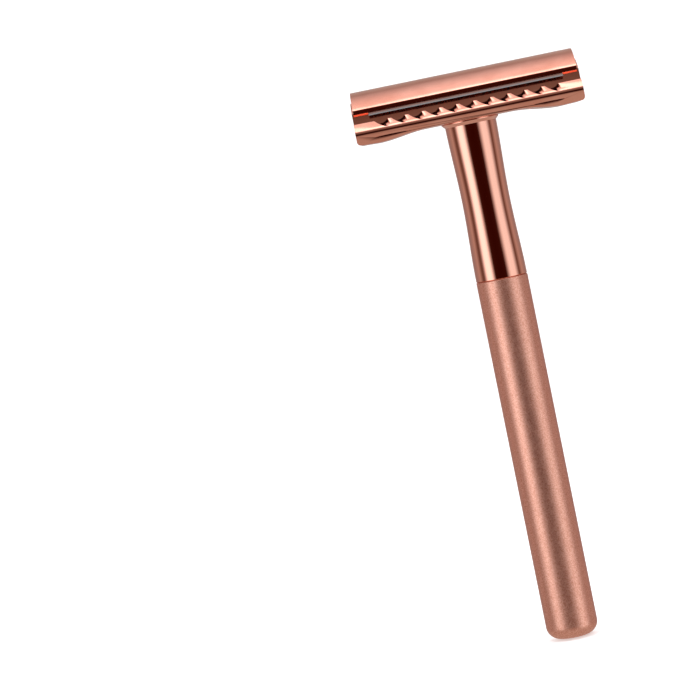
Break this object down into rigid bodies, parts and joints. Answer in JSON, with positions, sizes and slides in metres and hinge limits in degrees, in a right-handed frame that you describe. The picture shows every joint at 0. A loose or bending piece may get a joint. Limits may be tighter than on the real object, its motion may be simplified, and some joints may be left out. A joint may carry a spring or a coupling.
{
  "type": "safety razor",
  "caption": "Safety razor with an arched cap clamping a bent blade over a scalloped guard plate, screwed to a straight handle with a waisted neck.",
  "frame": {"origin": "centre of the flat disc at the grip's rounded end", "axes": "+Z along the handle towards the head, +X along the blade's edges, -Y is the front bar's side"},
  "size_m": [0.0436, 0.0258, 0.111],
  "materials": {
    "satin_rose_gold": "satin rose-gold plating",
    "blasted_rose_gold": "bead-blasted rose-gold plating",
    "polished_rose_gold": "mirror-polished rose-gold plating",
    "bare_brass": "machined",
    "blade_steel": "ground and polished edges",
    "stud_steel": "machined"
  },
  "bodies": {
    "handle": {"grip": "blasted_rose_gold", "neck": "polished_rose_gold", "thread_insert": "bare_brass", "handle_stud": "stud_steel"},
    "base_plate": {"base_plate": "satin_rose_gold"},
    "blade": {"blade": "blade_steel"},
    "cap": {"cap": "satin_rose_gold", "cap_screw": "bare_brass"}
  },
  "joints": [
    {"name": "head_turn", "type": "hinge", "parent": "handle", "child": "base_plate", "pos_m": [0, 0, 0.1015], "axis": [0, 0, 1], "range_deg": [0, 3600]},
    {"name": "cap_lift", "type": "slide", "parent": "base_plate", "child": "cap", "axis": [0, 0, 1], "range_m": [0, 0.0081]},
    {"name": "blade_lift", "type": "slide", "parent": "base_plate", "child": "blade", "axis": [0, 0, 1], "range_m": [0, 0.0041]}
  ],
  "couplings": [
    {"joint": "cap_lift", "follows": "head_turn", "m_per_rad": 0.00012732},
    {"joint": "blade_lift", "follows": "head_turn", "m_per_rad": 0.000063662}
  ]
}
